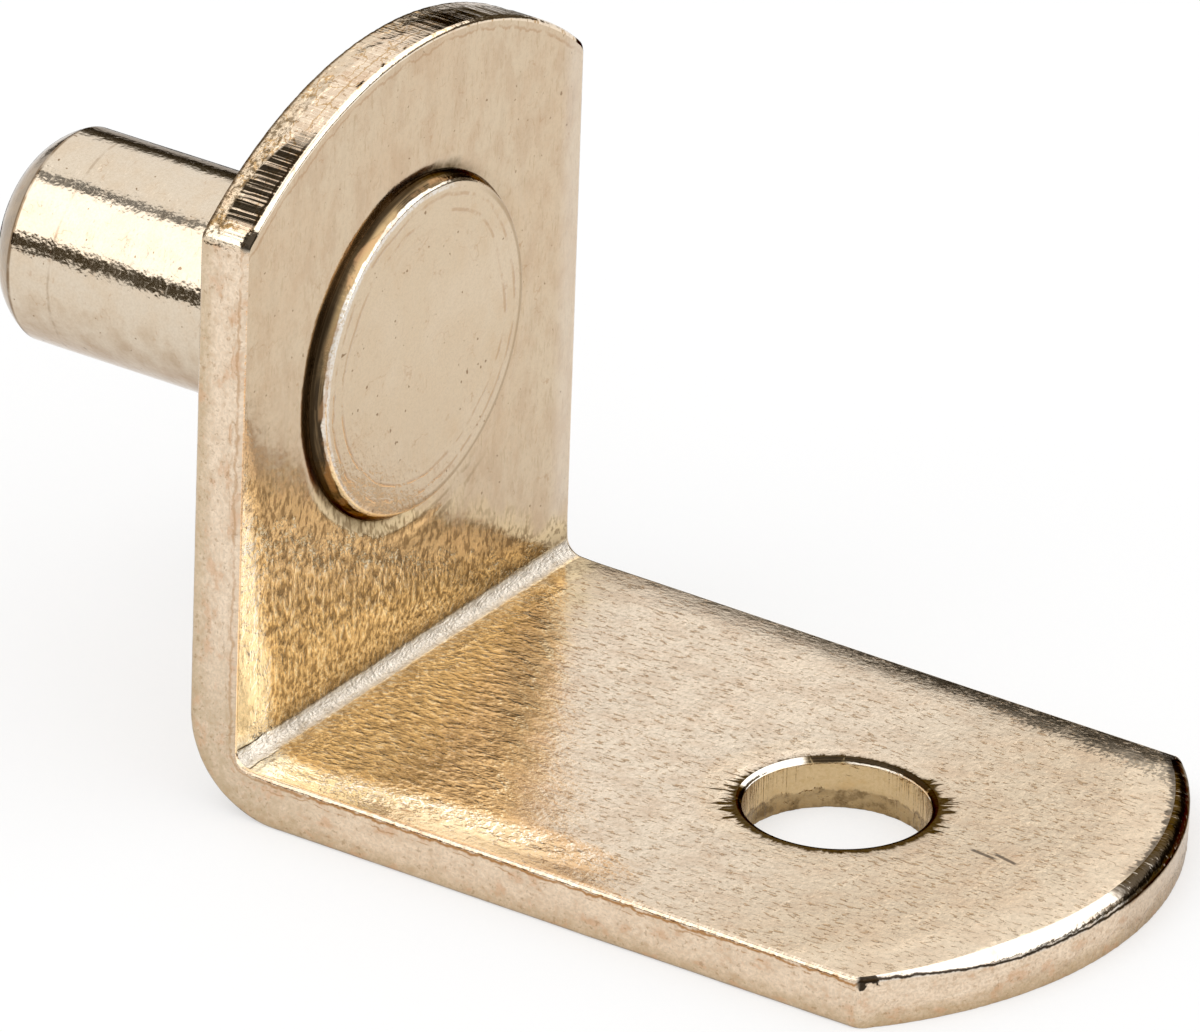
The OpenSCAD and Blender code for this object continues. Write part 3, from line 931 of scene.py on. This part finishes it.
def pin_metal():
    """Plated pin: smoother than the strip, with a fine orange peel. Its head took the
    strip's warmer tone when it was pressed flat."""
    n = Nodes(bpy.data.materials.new("pin_metal"))
    mm = n.stretch(n.coordinates(), (1000, 1000, 1000))
    x, y, z = n.split(mm)
    head = y.range(-THICK + 0.1, -THICK)
    peel = n.noise(mm, 7, 1)
    tooth = n.noise(mm, 16, 2, 0.6)
    cloud = n.noise(mm, 0.5, 3)
    mottle = n.noise(mm, 1.6, 4, 0.6)
    flecks = n.noise(n.stretch(mm, (2.5, 5, 2.5)), 1, 4, 0.7).range(0.6, 0.72)
    pricks = n.noise(mm, 6, 1).range(0.74, 0.78)
    line = abs(n.noise(mm, 0.6, 4, 0.6) - 0.5)
    line = line.fall(0, 0.008) * mottle.range(0.5, 0.62)
    # Coppery painted shade under the pin, and a faint ring near its free end
    under = (z - mottle * 3).range(-1.6, -3.6) * (1 - head)
    ring = abs(y - (cloud * 0.3 + (PIN_L - 2.15)))
    ring = ring.fall(0.01, 0.05) * mottle.range(0.42, 0.58, 0.2, 1)
    nose = y.range(PIN_L - NOSE_L - 0.03, PIN_L - NOSE_L + 0.02)
    n.colour = n.mix(head, PIN_BRASS, BRASS)
    n.coat(nose * 0.85, (0.29, 0.23, 0.175))
    n.coat(mottle.range(0.35, 0.7) * 0.35, WARM_BRASS)
    n.coat(cloud.range(0.45, 0.65) * head * 0.42, (0.73, 0.6, 0.445))
    n.coat(tooth.range(0.62, 0.35) * 0.22, toned(BRASS, 0.72))
    # The painted shade under the pin
    n.coat(under * 0.85, (0.45, 0.33, 0.22))
    stain = n.noise(mm, 1.1, 4, 0.7).range(0.54, 0.66) * z.range(-1, -2) * (1 - head)
    n.coat(stain * 0.6, (0.42, 0.25, 0.13))
    n.coat(flecks * 0.3, COPPER)
    n.coat(pricks * 0.8, FLECK)
    n.coat(line * 0.4, COPPER)
    n.coat(ring * 0.35, FLECK)
    nose_edge = abs(y - (PIN_L - NOSE_L - 0.01))
    nose_edge = nose_edge.fall(0.02, 0.07) * mottle.range(0.35, 0.55, 0.35, 0.85)
    n.coat(nose_edge, (0.17, 0.1, 0.045))
    radius = n.length(x, z)
    lean = (z * 0.45 - x) / radius
    # The head's wall is painted dark as shade, darkest at its foot, with golden painted
    # highlights by the rim; the rim has a painted highlight
    golden = (mottle * 0.14 + y).range(HEAD_Y + 0.12, HEAD_Y + 0.15) * head
    corner = n.most((z - x) / (radius * sqrt(2)), -0.05 - z / radius * 1.1)
    golden_highlight = (mottle * 0.25 + corner).range(0.92, 1.08) * y.range(HEAD_Y + 0.24, HEAD_Y + 0.1)
    turned = n.join(n.math("ARCTAN2", z, x) * 2.2, y * 15)
    wall_shade_and_highlight = n.noise(turned, 1, 3, 0.6).range(0.4, 0.62)
    wall_shade_and_highlight = n.mix(wall_shade_and_highlight, (0.03, 0.018, 0.008), (0.16, 0.105, 0.052))
    wall_shade_and_highlight = n.mix(golden_highlight, wall_shade_and_highlight, (0.4, 0.275, 0.135))
    n.coat(golden * 0.97, wall_shade_and_highlight)
    rim_highlight = (head - golden) * radius.range(HEAD_FOOT_R - 0.36, HEAD_FOOT_R - 0.3)
    rim_highlight *= lean.range(0, 0.4)
    n.coat(rim_highlight * tooth.range(0.4, 0.46, 0.2, 1), SILVER)
    # Painted shade at the foot of the head's wall, thickest on its left and top
    foot = (mottle * 0.1 + y).range(HEAD_Y + 0.22, HEAD_Y + 0.32) * lean.range(-0.45, 0.15, 0.15, 1)
    n.coat(foot * head * 0.85, (0.03, 0.018, 0.008))
    # A dark reflection is painted all along the pin's back upper side
    dark_reflection_line = (x * 0.51 + z * 0.86) / radius + tooth * 0.06
    dark_reflection_line = dark_reflection_line.range(0.93, 0.985) * (1 - head)
    n.coat(dark_reflection_line * 0.75, (0.15, 0.105, 0.075))
    edge_stain = n.noise(mm, 1.2, 4, 0.65).range(0.5, 0.66) * radius.range(1.6, 3.4)
    n.coat(edge_stain * (head - golden) * 0.32, (0.6, 0.42, 0.25))
    # A pressed ring inside the head's edge
    inner = n.math("SINE", (cloud * 0.5 + radius) * 17)
    inner = inner.range(0.55, 0.98) * radius.range(2.75, 3.2)
    inner *= head * mottle.range(0.4, 0.55)
    n.coat(inner * 0.45, COPPER)
    # Painted shade on the rim's right and lower side
    right_rim_shade = radius.range(HEAD_FOOT_R - 0.34, HEAD_FOOT_R - 0.27) * lean.range(-0.1, -0.5)
    n.coat(right_rim_shade * head * 0.55, (0.3, 0.19, 0.09))
    roughness = cloud * 0.1 + head * 0.09 + 0.06
    bumps = [(cloud, 0.03), (mottle, 0.006), (peel, 0.008), (tooth, 0.002), (inner, 0.006)]
    finish_metal(n, roughness, bumps, n.most(golden, dark_reflection_line * 0.55))
    return n.owner


# ---- studio
# The photograph's camera: angles in degrees, lengths in millimetres. The aim is measured
# from the underside, then shifted to the picture's right and up.
AZIMUTH, ELEVATION, ROLL = -57.054, 26.744, 1.99
LENS, CAMERA_DISTANCE = 543.99, 400
AIM, AIM_SHIFT = (0, -7, 6), (-0.57, 0.453)

FLOOR_CORNERS = [(-3000, -3000), (3000, -3000), (3000, 3000), (-3000, 3000)]
PAPER_WHITENESS = 0.55
FLAG_CORNERS = [(11, 3), (48, 3), (48, 28), (11, 28)]
FLAG_LIFT = 0.2


def add_plate(name, corners, z, material):
    """A flat four-sided piece at height z. Its corners are in millimetres too."""
    mesh = bpy.data.meshes.new(name)
    mesh.from_pydata([(x * MM, y * MM, z * MM) for x, y in corners], [], [(0, 1, 2, 3)])
    mesh.materials.append(material)
    return add_object(name, mesh)


def make_floor():
    """A plain pale floor under the seat leg, white to the camera but for the shadow."""
    n = Nodes(bpy.data.materials.new("floor_paper"))
    fibre = n.noise(n.coordinates(), 900, 3)
    bump = n.add("Bump", Height=fibre, Distance=0.02 * MM, Strength=0.2)
    pale = {"Base Color": (0.97, 0.97, 0.97, 1), "Specular IOR Level": 0}
    paper = n.add("BsdfPrincipled", Roughness=0.9, Normal=n.wire(bump), **pale)
    white = n.add("Emission", Color=(*WHITE, 1))
    seen = n.wire(n.add("LightPath"), "Is Camera Ray")
    surface = n.shaders(seen * PAPER_WHITENESS, paper, white)
    n.add("OutputMaterial", Surface=n.wire(surface))
    add_plate("floor", FLOOR_CORNERS, UNDERSIDE, n.owner)


def make_world():
    """White studio. Metal also sees its soft panels, overhead and on the left, and the
    dark gaps between them."""
    world = bpy.data.worlds.new("studio")
    bpy.context.scene.world = world
    n = Nodes(world)
    x, y, z = n.split(n.coordinates("Generated"))
    # The angle round the Y axis, from overhead towards the left, as a share of a turn
    share = n.math("ARCTAN2", x * -1, z) * (1 / (2 * pi)) + 0.5

    def panels(*stops):
        return n.ramp(share, *[(degrees / 360 + 0.5, level) for degrees, level in stops])

    bright, grey, gap = 1, (0.5, 0.5, 0.5), (0.030, 0.023, 0.012)
    behind = panels(
        (-96, gap), (-70, gap), (-64, 0.55), (3, 0.58), (7, 0.08), (12, 0.08),
        (17, bright), (72, bright), (76, gap), (91, gap), (96, grey),
    )
    front = panels(
        (-96, gap), (-68, gap), (-62, bright), (25, bright), (40, 0.55), (76, 0.40), (95, 0.40)
    )
    studio = n.mix(y.fall(0.36, 0.46), behind, front)
    # A dark patch in front on the right, which the strip's faces see in one another
    across, down = (share - (0.5 - 63 / 360)) * 36, (y + 0.57) / 0.085
    patch = (across * across + down * down).fall(0.5, 1.9)
    studio = n.mix(patch, studio, (0.24, 0.21, 0.17))
    studio = n.mix(y.range(0.78, 0.92), studio, grey)
    studio = n.mix(z.range(0.92, 0.98), studio, grey)
    studio = n.add("VectorMath", {"operation": "SCALE"}, i0=studio, Scale=2)
    glossy = n.add("Background", Color=n.wire(studio))
    plain = n.add("Background", Color=(*WHITE, 1), Strength=0.92)
    white = n.add("Background", Color=(*WHITE, 1))
    path = n.add("LightPath").outputs
    seen = n.most(path["Is Camera Ray"], path["Is Transmission Ray"])
    reflected = n.shaders(path["Is Glossy Ray"], plain, glossy)
    n.add("OutputWorld", Surface=n.wire(n.shaders(seen, reflected, white)))


def make_flag():
    """A dark card low on the right, which only the metal sees, as a studio's flag is."""
    n = Nodes(bpy.data.materials.new("flag_felt"))
    felt = n.ramp(n.noise(n.coordinates(), 400, 3), (0.3, 0.015), (0.7, 0.03))
    shader = n.add("BsdfPrincipled", Base_Color=felt, Roughness=1)
    n.add("OutputMaterial", Surface=n.wire(shader))
    flag = add_plate("flag", FLAG_CORNERS, UNDERSIDE + FLAG_LIFT, n.owner)
    for ray in ("camera", "diffuse", "transmission", "volume_scatter", "shadow"):
        setattr(flag, "visible_" + ray, False)


def make_lamp():
    """One large soft lamp, high on the left, for the shadow on the floor."""
    data = bpy.data.lights.new("soft_lamp", "AREA")
    data.shape, data.size, data.energy = "DISK", 0.30, 0.35
    lamp = add_object("soft_lamp", data)
    lamp.location = (-0.22, 0.10, 0.34)
    lamp.rotation_mode = "QUATERNION"
    lamp.rotation_quaternion = (-lamp.location).to_track_quat("-Z", "Y")
    lamp.visible_glossy = False


def make_camera():
    """The photograph's view: a long lens, from the left front and above."""
    azimuth, elevation, roll = (radians(a) for a in (AZIMUTH, ELEVATION, ROLL))
    level = cos(elevation)
    back = Vector((sin(azimuth) * level, -cos(azimuth) * level, sin(elevation)))
    right = Vector((cos(azimuth), sin(azimuth), 0))
    up = back.cross(right)
    shift = AIM_SHIFT[0] * right + AIM_SHIFT[1] * up
    aim = (Vector(AIM) + Vector((0, 0, UNDERSIDE)) + shift) * MM
    rolled_right = cos(roll) * right + sin(roll) * up
    rolled_up = -sin(roll) * right + cos(roll) * up
    data = bpy.data.cameras.new("camera")
    data.sensor_fit, data.sensor_width, data.lens = "HORIZONTAL", 36, LENS
    data.clip_start, data.clip_end = 0.02, 20
    camera = add_object("camera", data)
    turn = Matrix((rolled_right, rolled_up, back)).transposed()
    camera.matrix_world = Matrix.Translation(aim + CAMERA_DISTANCE * MM * back) @ turn.to_4x4()
    bpy.context.scene.camera = camera


make_camera()
make_world()
make_lamp()
make_floor()
make_flag()
bpy.context.scene.view_settings.view_transform = "Standard"

bracket = make_bracket(strip_metal(), cut_metal())
pin = make_pin(pin_metal())
for piece, node, finish in ((bracket, "bracket", "strip_plating"), (pin, "pin", "pin_plating")):
    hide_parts(node)
    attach(piece, "root")
